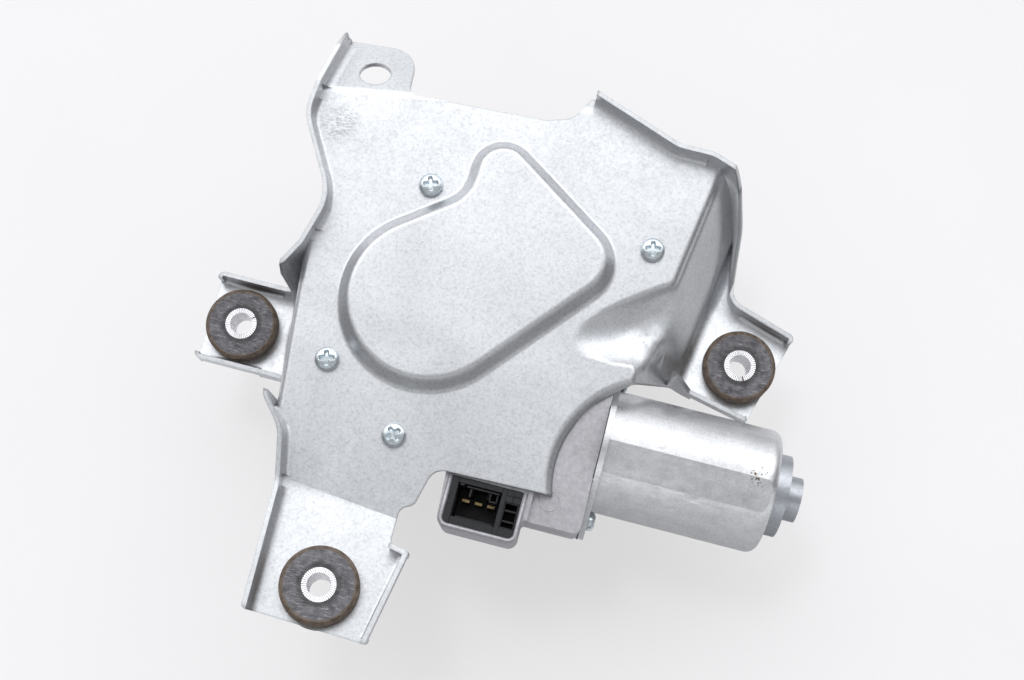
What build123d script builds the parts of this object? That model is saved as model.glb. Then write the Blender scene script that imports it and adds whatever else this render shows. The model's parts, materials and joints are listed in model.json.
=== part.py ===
from build123d import *
import math
import os

# Rear wiper motor on a pressed steel bracket, in millimetres.
# The origin is on the output shaft's axis, where the shaft's threaded end begins.
# +Z is up, away from the threaded end, and +X runs along the motor away from the gears.

# Levels, all named from the top of the flat part of the bracket plate
plate_z = 64.0
sheet = 1.4
gasket_thick = 0.5
housing_depth = 33.0
floor_thick = 3.0
foot_drop = 32.0
motor_drop = 21.0
run_gap = 0.05
part_gap = 0.3

# Bracket forming
flange_height = 6.0
flange_bend = 3.0
foot_bend = 1.5
bend_radius = 4.0
emboss_height = 5.0
emboss_slope = 42.0
emboss_top_round = 5.0
emboss_foot_round = 4.0
rim_roll = 5.5
rim_at = (47.5, -71.0)
rim_radius = 30.5
rim_depth = 3.2
leg_rise = 8.5
tab_fall = 25.0
left_draft = 6.0
right_draft = 23.5
trough_radius = 15.0
trough_fall = 13.0
trough_round = 5.0

# Grommets and their sleeves
grommet_radius = 11.5
grommet_neck = 8.2
grommet_lip = 4.5
grommet_bevel = 0.9
sleeve_radius = 5.0
sleeve_bore = 3.5
sleeve_stand = 0.2
left_foot_at = (-92.1, -49.1)
right_foot_at = (65.6, -22.6)
leg_hole_at = (-40.0, -123.4)
tab_hole_at = (-68.8, 35.0)
tab_hole_radius = 4.9

# Worm drive
gear_module = 0.9
wheel_teeth = 52
wheel_at = (-32.0, -33.0)
wheel_face = 6.0
wheel_hub_radius = 9.0
wheel_top_drop = 12.0
axle_radius = 4.0
worm_pitch_radius = 4.6
worm_length = 24.0
worm_thread_top = 5.4
worm_thread_root = 3.5

# Linkage that turns the wheel's spin into a sweep
crank_throw = 9.0
coupler_length = 45.0
sector_module = 1.0
sector_teeth = 30
pinion_teeth = 14
lever_length = sector_module * (sector_teeth + pinion_teeth) / 2
sector_thick = 4.5
sector_drop = 6.0
lever_thick = 2.4
lever_drop = 2.6
link_pin_radius = 3.0
link_arm_width = 9.0
pinion_length = 5.0

# Output shaft
shaft_radius = 5.0
stud_radius = 4.0
stud_length = 12.0
taper_length = 8.0
taper_radius = 4.5
boss_drop = 50.0
boss_radius = 11.0
bush_wall = 2.0
bush_length = 9.0

# Motor
motor_y = wheel_at[1] - worm_pitch_radius - gear_module * wheel_teeth / 2
yoke_start = 28.3
yoke_flange = 1.9
yoke_length = 51.8
yoke_radius = 19.2
yoke_wall = 1.6
yoke_end_round = 3.5
flat_width = 10.0
flat_turn = 12.0
end_boss_radius = 12.7
end_boss_length = 4.3
nose_radius = 6.9
nose_length = 4.9
magnet_thick = 3.2
magnet_length = 34.0
core_radius = 13.4
core_length = 26.0
core_slots = 10
motor_shaft_radius = 2.5
bearing_length = 4.0
commutator_radius = 6.5
commutator_length = 11.0
yoke_screw_reach = 22.2

brush_size = 5.0
brush_outer = 12.0
brush_line = 6.1
cage_length = 9.0
cage_tall = 5.5
cage_middle = 11.5
spring_radius = 1.9
spring_wire = 0.6
spring_pitch = 1.2
park_ring_inner = 9.0
park_ring_outer = 19.0
park_ring_thick = 0.6
park_gap = 6.0
magnet_gap_half = 6.5
slot_circle = 10.0
slot_depth = 4.8
slot_width = 3.6
winding_bulge = 5.0
brush_room_start = 9.0
brush_room_radius = 16.0
worm_tunnel_radius = 6.5
case_wall = 3.0
gusset_count = 6
gusset_turn = 15.0
gusset_thick = 2.4
gusset_reach = 20.0
gusset_foot = 26.0
wheel_room = 1.7
link_room = 10.4
link_room_reach = (14.8, 21.6)
link_room_turn = (-25.1, 11.0)
shaft_room = 12.0
yoke_screw_head = 2.9

# Screws on the plate
screw_places = ((-41.4, 2.3), (29.2, -0.8), (-57.2, -58.0), (-31.8, -75.1))
screw_radius = 2.0
screw_head_radius = 3.7
screw_head_height = 2.4
screw_length = 12.0
screw_head_bevel = 0.9
screw_boss_radius = 4.6

# Connector
connector_at = (-3.0, -88.6)
connector_size = (15.6, 12.4)
connector_wall = 1.2
connector_drop = 6.0
connector_depth = 16.0
connector_floor = 2.0
surround_wall = 1.6
latch_width = 4.6
latch_length = 8.0
latch_floor = 6.4
pin_pitch = 3.9
pin_count = 3
pin_size = (2.2, 0.8)
pin_rise = 8.0

foot_z = plate_z - foot_drop
motor_z = plate_z - motor_drop
housing_top = plate_z - sheet - gasket_thick
housing_floor = plate_z - housing_depth
chamber_floor = housing_floor + floor_thick
wheel_pocket_radius = gear_module * (wheel_teeth / 2 + 1) + wheel_room
deck_low = plate_z - wheel_top_drop - 0.6 - floor_thick
plug_floor = plate_z - connector_drop - connector_depth - surround_wall
flange_end = yoke_start + yoke_flange
yoke_end = flange_end + yoke_length
big = 400.0

# Plan of the gear housing's rim, each as x, y and corner radius
housing_corners = (
    (yoke_start, -89.6, 2.0), (yoke_start, -43.0, 2.0), (2.0, -41.0, 8.0), (15.0, -18.0, 10.0),
    (24.0, -8.5, 4.0), (36.0, -8.5, 6.0), (36.0, 6.5, 6.0), (13.0, 22.0, 8.0), (-8.0, 28.5, 6.0),
    (-27.0, 28.5, 9.0), (-47.5, 10.0, 7.0), (-62.0, -14.0, 16.0), (-65.0, -40.0, 14.0),
    (-64.4, -65.0, 7.0), (-46.0, -66.0, 10.0), (-38.5, -82.0, 6.0), (-25.0, -81.6, 6.0),
    (-14.5, -77.0, 3.0), (-13.2, -97.4, 3.0), (11.0, -97.4, 3.0), (11.0, -89.6, 1.0),
)

# Corners of the trimmed sheet, each as x, y and corner radius
trim_corners = (
    (-82.6, 41.5, 2.0), (-81.6, 46.0, 1.0), (-58.4, 47.7, 9.0), (-56.1, 29.6, 3.6),
    (-12.5, 31.8, 12.0), (-3.6, 34.8, 7.0), (-0.4, 43.6, 1.0),
    (29.5, 32.6, 10.0), (40.5, 32.6, 10.0), (50.5, 29.0, 9.0), (55.8, 18.0, 16.0),
    (58.6, -2.4, 5.0), (80.6, -9.4, 2.0), (71.6, -40.2, 2.0), (46.0, -34.4, 3.0),
    (34.0, -41.2, 14.0), (18.2, -55.0, 20.0), (18.4, -72.0, 8.0), (20.4, -80.6, 1.0),
    (-17.8, -81.6, 5.0), (-20.6, -93.6, 3.0), (-24.4, -95.4, 3.0), (-24.4, -106.2, 2.0),
    (-17.8, -107.4, 0.8), (-22.6, -135.6, 1.0), (-59.0, -134.4, 1.5), (-60.8, -98.0, 20.0),
    (-64.6, -82.0, 12.0), (-71.6, -74.0, 4.0), (-73.6, -63.4, 3.0), (-103.4, -63.4, 2.0),
    (-103.4, -34.2, 2.0), (-78.8, -34.2, 4.0), (-74.6, -26.0, 6.0), (-70.6, -10.0, 16.0),
    (-84.6, 14.0, 14.0),
)


def rounded_outline(corners):
    """Flat face with straight sides and an arc of the given radius at each corner."""
    bends = []
    count = len(corners)
    for index, (x, y, radius) in enumerate(corners):
        here = Vector(x, y)
        last = corners[index - 1]
        after = corners[(index + 1) % count]
        back = (Vector(last[0], last[1]) - here).normalized()
        on = (Vector(after[0], after[1]) - here).normalized()
        half = math.radians(back.get_angle(on) / 2)
        reach = radius / math.tan(half)
        middle = here + (back + on).normalized() * (radius / math.sin(half) - radius)
        bends.append((here + back * reach, middle, here + on * reach))
    edges = []
    for index, (start, middle, end) in enumerate(bends):
        edges.append(ThreePointArc(start, middle, end))
        edges.append(Line(end, bends[(index + 1) % count][0]))
    return make_face(edges)


def belt_outline(circles):
    """Face bounded by arcs of circles joined by their tangents; a negative radius bends inward."""
    ends = []
    count = len(circles)
    for index, (x, y, radius) in enumerate(circles):
        nx, ny, next_radius = circles[(index + 1) % count]
        span = math.hypot(nx - x, ny - y)
        way = math.atan2(ny - y, nx - x) - math.asin((next_radius - radius) / span)
        left = Vector(-math.sin(way), math.cos(way))
        ends.append((Vector(x, y) - left * radius, Vector(nx, ny) - left * next_radius, way))
    edges = []
    for index, (start, end, way) in enumerate(ends):
        edges.append(Line(start, end))
        x, y, radius = circles[(index + 1) % count]
        next_start, _, next_way = ends[(index + 1) % count]
        turn = (next_way - way) % math.tau
        if radius < 0:
            turn -= math.tau
        middle_way = way + turn / 2
        left = Vector(-math.sin(middle_way), math.cos(middle_way))
        edges.append(ThreePointArc(end, Vector(x, y) - left * radius, next_start))
    return make_face(edges)


def prism(face, low, high):
    """Upright solid on a flat outline between two heights."""
    return extrude(Pos(0, 0, low) * face, amount=high - low)


def post(x, y, radius, low, high):
    """Upright round solid."""
    return Pos(x, y, low) * Cylinder(radius, high - low, align=(Align.CENTER, Align.CENTER, Align.MIN))


def rod(start, end, radius, y=motor_y, z=motor_z):
    """Round solid along X between two stations on the motor's line."""
    low = (Align.CENTER, Align.CENTER, Align.MIN)
    return Pos(start, y, z) * Rot(0, 90, 0) * Cylinder(radius, end - start, align=low)


def slanted_plane(point, along, outward, drop):
    """Plane through a bend line whose normal is outward, moved down by drop along that normal."""
    normal = Vector(*outward).normalized()
    origin = Vector(*point) - normal * drop
    return Plane(origin=origin, x_dir=Vector(*along), z_dir=normal)


def under(plane, size=big):
    """Large block that lies below a plane."""
    return plane * Box(size, size, size, align=(Align.CENTER, Align.CENTER, Align.MAX))


def over(plane, size=big):
    """Large block that lies above a plane."""
    return plane * Box(size, size, size, align=(Align.CENTER, Align.CENTER, Align.MIN))


def wall_plane(start, end, draft, drop):
    """Plane of a drawn wall that falls away to the right of the line from start to end."""
    along = Vector(end[0] - start[0], end[1] - start[1]).normalized()
    tilt = math.radians(draft)
    right = Vector(along.Y, -along.X)
    outward = (right.X * math.cos(tilt), right.Y * math.cos(tilt), math.sin(tilt))
    return slanted_plane((start[0], start[1], plate_z), (along.X, along.Y, 0), outward, drop)


def bend_plane(start, end, fall, drop):
    """Plane that starts at the line from start to end and falls to the right of it."""
    along = Vector(end[0] - start[0], end[1] - start[1]).normalized()
    tilt = math.radians(fall)
    right = Vector(along.Y, -along.X)
    outward = (right.X * math.sin(tilt), right.Y * math.sin(tilt), math.cos(tilt))
    return slanted_plane((start[0], start[1], plate_z), (along.X, along.Y, 0), outward, drop)


left_crease = ((-69.2, -66.0), (-73.6, -27.0))
right_crease = ((42.4, 21.0), (34.6, -30.0))
leg_bend = ((-23.4, -98.8), (-59.2, -95.4))
tab_bend = ((-81.9, 23.8), (-49.1, 29.2))
emboss_circles = ((-32.0, -33.0, 28.4), (6.0, -10.6, 14.0), (-20.8, 11.4, 10.8), (-41.7, 7.8, -10.0))


gasket_circles = (
    (screw_places[3][0], screw_places[3][1], 5.5), (screw_places[1][0], screw_places[1][1], 5.5),
    (-3.0, 14.0, 13.5), (-20.0, 14.0, 13.5), (screw_places[0][0], screw_places[0][1], 6.0),
    (wheel_at[0], wheel_at[1], wheel_pocket_radius + 4.0), (screw_places[2][0], screw_places[2][1], 5.5),
)


def foot_plane(drop):
    return Plane(origin=(0, 0, foot_z - drop))


def edges_between(body, first, second):
    """Edges that lie on two planes at once."""
    found = []
    for edge in body.edges():
        ends = (edge @ 0, edge @ 1)
        near = max(abs(plane.to_local_coords(end).Z) for end in ends for plane in (first, second))
        if near < 0.001:
            found.append(edge)
    return found


def foot_space(plane, drop, low_y, high_y):
    """Space that a drawn wall leaves open over its foot."""
    side = Pos(0, low_y, 0) * Box(big, high_y - low_y, big, align=(Align.CENTER, Align.MIN, Align.CENTER))
    return over(plane) & over(foot_plane(drop)) & side


def trough(drop):
    """Round groove that deepens towards the right wall."""
    start = Vector(9.0, -36.0, plate_z + trough_radius + 0.6)
    level_way = math.atan2(13.0, 30.0)
    fall = math.radians(trough_fall)
    way = Vector(math.cos(level_way) * math.cos(fall), math.sin(level_way) * math.cos(fall), -math.sin(fall))
    plane = Plane(origin=start, z_dir=way)
    return plane * Cylinder(trough_radius + drop, 80, align=(Align.CENTER, Align.CENTER, Align.MIN))


def emboss_face(drop):
    """Foot outline of the raised pear, for the sheet's surface moved down by drop."""
    shrink = drop * math.tan(math.radians(90 - emboss_slope) / 2)
    return belt_outline([(x, y, radius - shrink) for x, y, radius in emboss_circles])


def emboss(drop):
    """Raised pear over the gear wheel, with sloping sides."""
    low = plate_z - drop
    return extrude(Pos(0, 0, low) * emboss_face(drop), amount=emboss_height, taper=emboss_slope)


def edges_on(body, plane):
    """Edges that lie in a plane."""
    found = []
    for edge in body.edges():
        if max(abs(plane.to_local_coords(edge @ share).Z) for share in (0, 0.5, 1)) < 0.001:
            found.append(edge)
    return found


def edge_roll(drop):
    """Space outside the rounded edge that rolls down beside the motor."""
    top = plate_z - drop
    start = plate_z - rim_roll
    inner = rim_radius + drop
    outer = rim_radius + rim_roll
    radius = rim_roll - drop
    middle = (outer - radius * math.cos(math.pi / 4), start + radius * math.sin(math.pi / 4))
    low = start - rim_roll
    high = plate_z + big / 2
    edges = [
        Polyline((0, high), (0, low), (inner, low), (inner, start)),
        ThreePointArc((inner, start), middle, (outer, top)),
        Polyline((outer, top), (outer, high), (0, high)),
    ]
    return Pos(*rim_at, 0) * revolve(Plane.XZ * make_face(edges), axis=Axis.Z)


def formed_body(drop, rounded=True):
    """Solid whose upper side is the sheet's upper side moved down by drop."""
    plate = plate_level(drop)
    leg = leg_level(drop)
    tab = tab_level(drop)
    left = wall_plane(left_crease[1], left_crease[0], left_draft, drop)
    right = wall_plane(right_crease[1], right_crease[0], right_draft, drop)
    body = under(plate) + under(leg)
    body -= over(tab)
    body -= foot_space(left, drop, -75.5, -23.5)
    body -= foot_space(right, drop, -60.0, 120.0)
    if rounded:
        body = fillet(edges_between(body, left, foot_plane(drop)), bend_radius + drop)
        body = fillet(edges_between(body, right, foot_plane(drop)), bend_radius + drop)
        body = fillet(edges_between(body, plate, left), bend_radius - drop)
        body = fillet(edges_between(body, plate, right), bend_radius - drop)
        body -= trough(drop)
        groove_edges = [edge for edge in edges_on(body, plate) if edge.geom_type == GeomType.ELLIPSE]
        body = fillet(groove_edges, trough_round - drop)
        body -= edge_roll(drop)
        body += emboss(drop)
        crown = Plane(origin=(0, 0, plate_z - drop + emboss_height))
        body = fillet(edges_on(body, crown), emboss_top_round - drop)
        wire = (Pos(0, 0, plate_z - drop) * emboss_face(drop)).faces()[0].outer_wire()
        foot = [edge for edge in edges_on(body, plate) if wire.distance_to(edge @ 0.5) < 0.01]
        body = fillet(foot, emboss_foot_round + drop)
    return body


def trim_prism(inset):
    """Upright prism of the sheet's outline, or of the outline moved in by the sheet's thickness."""
    face = rounded_outline(trim_corners)
    if inset:
        face = offset(face, amount=-sheet, kind=Kind.INTERSECTION)
    return prism(face, housing_floor - 20, plate_z + 40)


def ridge_zone(points):
    """Upright prism over a four sided patch of the plan."""
    return prism(make_face(Polyline(*points, close=True)), housing_floor - 20, plate_z + 40)


def low_zone(points):
    """Patch of the plan that is cut off at the height of a foot's flange."""
    return ridge_zone(points) & under(foot_plane(-flange_height))


def flange_zones():
    """Stretches of the outline where the edge is turned up."""
    left_side = ((-79.2, -36.5), (-60, -36.5), (-60, 20), (-76, 30), (-80.2, 44), (-80.2, 50))
    left_side += ((-90, 50), (-90, -26), (-79.2, -26))
    return [
        ridge_zone(left_side),
        low_zone(((-104, -36.5), (-78, -36.5), (-78, -31), (-104, -31))),
        low_zone(((-104, -64), (-74, -64), (-74, -61.4), (-104, -61.4))),
        ridge_zone(((-78, -135), (-57.4, -135), (-57.4, -72), (-78, -72))),
        ridge_zone(((-24, -137), (-16, -137), (-16, -106.2), (-24, -106.2))),
        ridge_zone(((1.0, -3), (62, -3), (62, 46), (1.0, 46))),
        ridge_zone(((56, -8), (79.4, -12), (84, -6), (56, 4))),
        ridge_zone(((44.5, -32.0), (71.0, -38.2), (72.5, -42), (44.0, -38))),
    ]


def turned_edge(level, corners, patch, bend):
    """Sheet whose edge is turned up with a round bend, kept inside a patch of the plan."""
    face = rounded_outline(corners)
    inner = offset(face, amount=-sheet, kind=Kind.INTERSECTION)
    low = housing_floor - 20
    high = plate_z + 40
    shell = prism(face, low, high) & over(level(sheet)) & under(level(-flange_height))
    shell = fillet(edges_on(shell, level(sheet)), bend + sheet)
    room = prism(inner, low, high) & over(level(0.0))
    room = fillet(edges_on(room, level(0.0)), bend)
    return (shell - room) & ridge_zone(patch)


def plate_level(drop):
    return Plane(origin=(0, 0, plate_z - drop))


def leg_level(drop):
    return bend_plane(leg_bend[1], leg_bend[0], -leg_rise, drop)


def tab_level(drop):
    return bend_plane(tab_bend[1], tab_bend[0], tab_fall, drop)


def foot_level(drop):
    return foot_plane(drop)


def beyond(start, end, reach):
    """Outline corner on the line from start to end, carried on past end by reach."""
    span = math.hypot(end[0] - start[0], end[1] - start[1])
    x = end[0] + (end[0] - start[0]) * reach / span
    y = end[1] + (end[1] - start[1]) * reach / span
    return (x, y, 6.0)


def straight_edge(first, last, reach):
    """Closed outline whose first side runs along two corners of the sheet and a little past both."""
    start = beyond(trim_corners[last], trim_corners[first], 10)
    end = beyond(trim_corners[first], trim_corners[last], 10)
    along = Vector(end[0] - start[0], end[1] - start[1]).normalized()
    inward = Vector(along.Y, -along.X) * reach
    far_end = (end[0] + inward.X, end[1] + inward.Y, 6.0)
    far_start = (start[0] + inward.X, start[1] + inward.Y, 6.0)
    return (start, end, far_end, far_start)


def turned_edges():
    """Each turned edge: its level, its outline, the patch of the plan it fills and its bend."""
    c = trim_corners
    upper_right = (beyond(c[7], c[6], 12),) + c[7:11] + ((52, -10, 8.0), (-20, -10, 8.0))
    upper_left = ((-40, -50, 8.0), beyond(c[34], c[33], 14)) + c[34:36]
    upper_left += (beyond(c[35], c[0], 12), (-40, 60, 8.0))
    leg_end = beyond(c[26], c[25], 12)
    leg_side = ((-30, leg_end[1], 8.0), leg_end) + c[26:28] + ((-66.5, -60, 8.0), (-30, -60, 8.0))
    hip_side = ((-30, leg_end[1], 8.0), leg_end) + c[26:29] + (beyond(c[28], c[29], 10), (-30, -50, 8.0))
    tab_patch = ((-90, 24), (-75, 26.5), (-75, 43), (-80.2, 44.5), (-80.2, 50), (-90, 50))
    plate_patch = ((-90, -20), (-62, -20), (-66, 0), (-70, 12), (-72, 21.5), (-90, 20))
    leg_right = ((-14, -109), (-26, -109), (-30, -134), (-14, -134))
    left_upper = ((-102, -30), (-82.5, -30), (-82.5, -38), (-102, -38))
    left_lower = ((-102, -60), (-82.5, -60), (-82.5, -66), (-102, -66))
    right_upper = ((64, 0), (62, -8), (77, -13), (81, -4))
    right_lower = ((70, -42), (68, -36), (54, -32), (52, -40))
    hip_patch = ((-76, -73), (-65, -79), (-55, -84), (-54, -95), (-66, -94))
    corner_patch = ((1.0, 46), (1.0, 33.5), (26, 23), (39, 23), (39, 46))
    return [
        (plate_level, upper_right, corner_patch, flange_bend),
        (plate_level, upper_left, plate_patch, flange_bend),
        (tab_level, upper_left, tab_patch, flange_bend),
        (leg_level, leg_side, ((-66, -98), (-54, -98), (-52, -140), (-66, -140)), flange_bend),
        (plate_level, hip_side, hip_patch, flange_bend),
        (leg_level, straight_edge(23, 24, 20), leg_right, foot_bend),
        (foot_level, straight_edge(31, 32, 20), left_upper, foot_bend),
        (foot_level, straight_edge(29, 30, 20), left_lower, foot_bend),
        (foot_level, straight_edge(11, 12, 20), right_upper, foot_bend),
        (foot_level, straight_edge(13, 14, 20), right_lower, foot_bend),
    ]


def seat_plane(plane, place):
    """Frame on a sloping sheet above a point of the plan."""
    x, y = place
    normal = plane.z_dir
    rise = (normal.X * (plane.origin.X - x) + normal.Y * (plane.origin.Y - y)) / normal.Z
    return Plane(origin=(x, y, plane.origin.Z + rise), x_dir=(1, 0, 0), z_dir=normal)


def foot_seats():
    """Frames on the sheet's upper side at the three grommet holes."""
    flat = foot_plane(0.0)
    leg = leg_level(0.0)
    return {
        "left": seat_plane(flat, left_foot_at),
        "right": seat_plane(flat, right_foot_at),
        "bottom": seat_plane(leg, leg_hole_at),
    }


def bore(plane, radius, deep):
    """Round cutter across the sheet at a frame."""
    return plane * Cylinder(radius, deep)


def make_bracket():
    """Pressed steel bracket: plate, embossed pear, two dropped feet, a raised leg and turned flanges."""
    outline = trim_prism(False)
    ring = outline - trim_prism(True)
    lower = formed_body(sheet)
    skin = (formed_body(0.0) & outline) - lower
    roll_zone = ridge_zone(((10, -85), (32, -85), (32, -38), (10, -38)))
    skin -= roll_zone & under(plate_level(rim_depth))
    raised = (ring & formed_body(-flange_height, rounded=False)) - lower
    for zone in flange_zones():
        skin += raised & zone
    for level, corners, patch, bend in turned_edges():
        skin -= ridge_zone(patch)
        skin += turned_edge(level, corners, patch, bend) & outline
    for seat in foot_seats().values():
        skin -= bore(seat, grommet_neck + run_gap, 8 * sheet)
    tab = bend_plane(tab_bend[1], tab_bend[0], tab_fall, 0.0)
    skin -= bore(seat_plane(tab, tab_hole_at), tab_hole_radius, 8 * sheet)
    for x, y in screw_places:
        skin -= post(x, y, screw_radius + part_gap, plate_z - 4 * sheet, plate_z + 4 * sheet)
    return skin


def make_grommet(seat):
    """Rubber grommet with a groove that holds the sheet."""
    tall = 2 * grommet_lip + sheet
    middle = -sheet / 2
    body = Pos(0, 0, middle) * Cylinder(grommet_radius, tall)
    body = chamfer(body.edges().filter_by(GeomType.CIRCLE), grommet_bevel)
    groove = Pos(0, 0, middle) * Cylinder(grommet_radius + 1, sheet + 2 * run_gap)
    groove -= Pos(0, 0, middle) * Cylinder(grommet_neck, 2 * sheet)
    body -= groove
    body -= Cylinder(sleeve_radius + run_gap, 4 * tall)
    return seat * body


def make_sleeve(seat):
    """Rolled steel sleeve through a grommet."""
    tall = 2 * (grommet_lip + sleeve_stand) + sheet
    body = Cylinder(sleeve_radius, tall) - Cylinder(sleeve_bore, 2 * tall)
    return seat * Pos(0, 0, -sheet / 2) * body


def park_angle():
    """Direction from the output shaft to the sector's pivot, with crank and coupler in line."""
    span = math.hypot(*wheel_at)
    reach = coupler_length + crank_throw
    spread = math.acos((span ** 2 + lever_length ** 2 - reach ** 2) / (2 * span * lever_length))
    return math.atan2(wheel_at[1], wheel_at[0]) - spread


def pivot_place():
    """Sector pivot at rest."""
    way = park_angle()
    return lever_length * math.cos(way), lever_length * math.sin(way)


def chamber_face():
    """Outline of the room that the linkage sweeps, which turns with the lever's park angle."""
    circles = [(0.0, 0.0, shaft_room)]
    for reach, turn in zip(link_room_reach, link_room_turn):
        way = park_angle() + math.radians(turn)
        circles.append((reach * math.cos(way), reach * math.sin(way), link_room))
    circles.append((wheel_at[0], wheel_at[1], wheel_pocket_radius))
    return belt_outline(circles)


def crank_place():
    """Crank pin at rest, on the line from the pivot to the wheel's centre."""
    x, y = pivot_place()
    way = math.atan2(wheel_at[1] - y, wheel_at[0] - x)
    return x + coupler_length * math.cos(way), y + coupler_length * math.sin(way)


def gear_face(module, teeth, phase, backlash, heights):
    """Involute gear outline with a tooth centred on the phase angle, in radians.

    The flank has a corner at the root, at each height from the pitch line in modules, and at the tip.
    """
    pitch = module * teeth / 2
    base = pitch * math.cos(math.radians(20))
    root = pitch - 1.25 * module
    tip = pitch + module
    at_pitch = math.tan(math.radians(20)) - math.radians(20)
    points = []
    for tooth in range(teeth):
        flank = []
        for radius in (root, *[pitch + height * module for height in heights], tip):
            turn = math.acos(min(1.0, base / radius))
            half = math.pi / (2 * teeth) - backlash / (2 * pitch) + at_pitch - math.tan(turn) + turn
            flank.append((radius, half))
        middle = phase + tooth * math.tau / teeth
        for radius, half in flank:
            points.append((radius * math.cos(middle - half), radius * math.sin(middle - half)))
        for radius, half in reversed(flank):
            points.append((radius * math.cos(middle + half), radius * math.sin(middle + half)))
    return make_face(Polyline(*points, close=True))


def make_wheel():
    """Moulded worm wheel with a hub and a raised crank disc."""
    half = wheel_face / 2
    x, y = wheel_at
    top = plate_z - wheel_top_drop
    phase = -math.pi / 2 + math.pi / wheel_teeth
    toothed = Pos(x, y, 0) * gear_face(gear_module, wheel_teeth, phase, 0.3, (0.0,))
    wheel = prism(toothed, motor_z - half, motor_z + half)
    pitch = gear_module * wheel_teeth / 2
    dish = post(x, y, pitch - 4.0, motor_z + half - 1.5, top)
    dish -= post(x, y, crank_throw + 6.0, motor_z + half - 1.5, top)
    wheel -= dish
    wheel += post(x, y, crank_throw + 5.0, motor_z, top)
    wheel -= post(x, y, axle_radius + run_gap, chamber_floor, plate_z)
    return wheel


def make_park_disc():
    """Brass contact ring under the wheel, with one gap for the park position."""
    x, y = wheel_at
    top = motor_z - wheel_face / 2
    ring = post(x, y, park_ring_outer, top - park_ring_thick, top)
    ring -= post(x, y, park_ring_inner, top - 2 * park_ring_thick, top + park_ring_thick)
    width = (park_ring_outer - park_ring_inner) / 2
    return ring - Pos(x + park_ring_outer, y, top) * Box(2 * width, park_gap, park_gap)


def make_park_contacts():
    """Three spring fingers on the chamber floor that reach for the contact ring."""
    x, y = wheel_at
    low = (Align.CENTER, Align.MIN, Align.MIN)
    top = motor_z - wheel_face / 2 - park_ring_thick - part_gap
    width = (park_ring_outer - park_ring_inner) / 5
    contacts = []
    for index in range(3):
        place = park_ring_inner + (index + 0.5) * (park_ring_outer - park_ring_inner) / 3
        foot = Pos(x - place, y, chamber_floor) * Box(width, 14, 0.5, align=low)
        riser = Pos(x - place, y, chamber_floor) * Box(width, 0.5, top - chamber_floor, align=low)
        tip = Pos(x - place, y, top - 0.5) * Box(width, 4, 0.5, align=low)
        contacts.append(foot + riser + tip)
    return Compound(contacts)


def make_axle():
    """Steel pin pressed into the chamber floor."""
    return post(wheel_at[0], wheel_at[1], axle_radius, chamber_floor - 2, plate_z - wheel_top_drop)


def make_sector():
    """Sector gear with the arm that the crank drives."""
    px, py = pivot_place()
    kx, ky = crank_place()
    pitch = sector_module * sector_teeth / 2
    facing = math.atan2(-py, -px)
    toothed = gear_face(sector_module, sector_teeth, facing, 0.15, (-0.4, 0.3))
    arm_way = math.atan2(ky - py, kx - px)
    first = arm_way + math.radians(43)
    last = arm_way + math.radians(118)
    reach = 3 * pitch
    corners = [(0, 0)]
    for step in range(4):
        way = first + (last - first) * step / 3
        corners.append((reach * math.cos(way), reach * math.sin(way)))
    pie = make_face(Polyline(*corners, close=True))
    low = plate_z - sector_drop - sector_thick
    face = toothed & pie
    face += Circle(link_arm_width / 2 + 1.5)
    arm = Pos((kx - px) / 2, (ky - py) / 2) * Rot(0, 0, math.degrees(arm_way))
    face += arm * SlotCenterToCenter(coupler_length, link_arm_width)
    sector = prism(Pos(px, py) * face, low, low + sector_thick)
    sector -= post(px, py, link_pin_radius + run_gap, low - 1, plate_z)
    sector -= post(kx, ky, link_pin_radius + run_gap / 5, low - 1, plate_z)
    return sector


def make_crank_pin():
    """Pin in the arm's end, which stops just over the wheel."""
    x, y = crank_place()
    return post(x, y, link_pin_radius, plate_z - wheel_top_drop + part_gap, plate_z - sector_drop)


def make_lever():
    """Rocker lever from the output shaft to the sector's pivot."""
    px, py = pivot_place()
    low = plate_z - lever_drop - lever_thick
    way = math.degrees(park_angle())
    face = Pos(px / 2, py / 2) * Rot(0, 0, way) * SlotCenterToCenter(lever_length, 13.0)
    lever = prism(face, low, low + lever_thick)
    lever -= post(0, 0, stud_radius + run_gap, low - 1, plate_z)
    lever -= post(px, py, link_pin_radius + run_gap / 5, low - 1, plate_z)
    return lever


def make_pivot_pin():
    """Headed pin fixed in the lever, on which the sector turns."""
    x, y = pivot_place()
    low = plate_z - sector_drop - sector_thick
    pin = post(x, y, link_pin_radius, low - 1.3, plate_z - lever_drop)
    return pin + post(x, y, link_pin_radius + 1.2, low - 1.5, low - part_gap)


def make_pinion():
    """Output pinion that the sector turns."""
    low = plate_z - sector_drop - sector_thick - part_gap
    phase = park_angle() + math.pi / pinion_teeth
    toothed = gear_face(sector_module, pinion_teeth, phase, 0.15, (-0.4, 0.3))
    pinion = prism(toothed, low, low + pinion_length)
    return pinion - post(0, 0, stud_radius + run_gap / 5, low - 1, plate_z)


def make_output_shaft():
    """Output shaft: threaded stud, taper seat, long journal and the pinion's neck."""
    shoulder = plate_z - sector_drop - sector_thick - part_gap
    top = plate_z - lever_drop + part_gap
    points = (
        (0, -stud_length), (stud_radius - 0.8, -stud_length), (stud_radius, 0.8 - stud_length),
        (stud_radius, 0), (taper_radius, 0), (shaft_radius, taper_length), (shaft_radius, shoulder),
        (stud_radius, shoulder), (stud_radius, top), (0, top),
    )
    profile = make_face(Polyline(*points, close=True))
    shaft = revolve(Plane.XZ * profile, axis=Axis.Z)
    low, high = clip_levels()
    return shaft - (post(0, 0, 9, low, high) - post(0, 0, shaft_radius - 0.6, low, high))


def clip_levels():
    """Height of the clip's groove, under the washer."""
    high = plate_z - boss_drop - 1.1
    return high - 1.0, high


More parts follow.
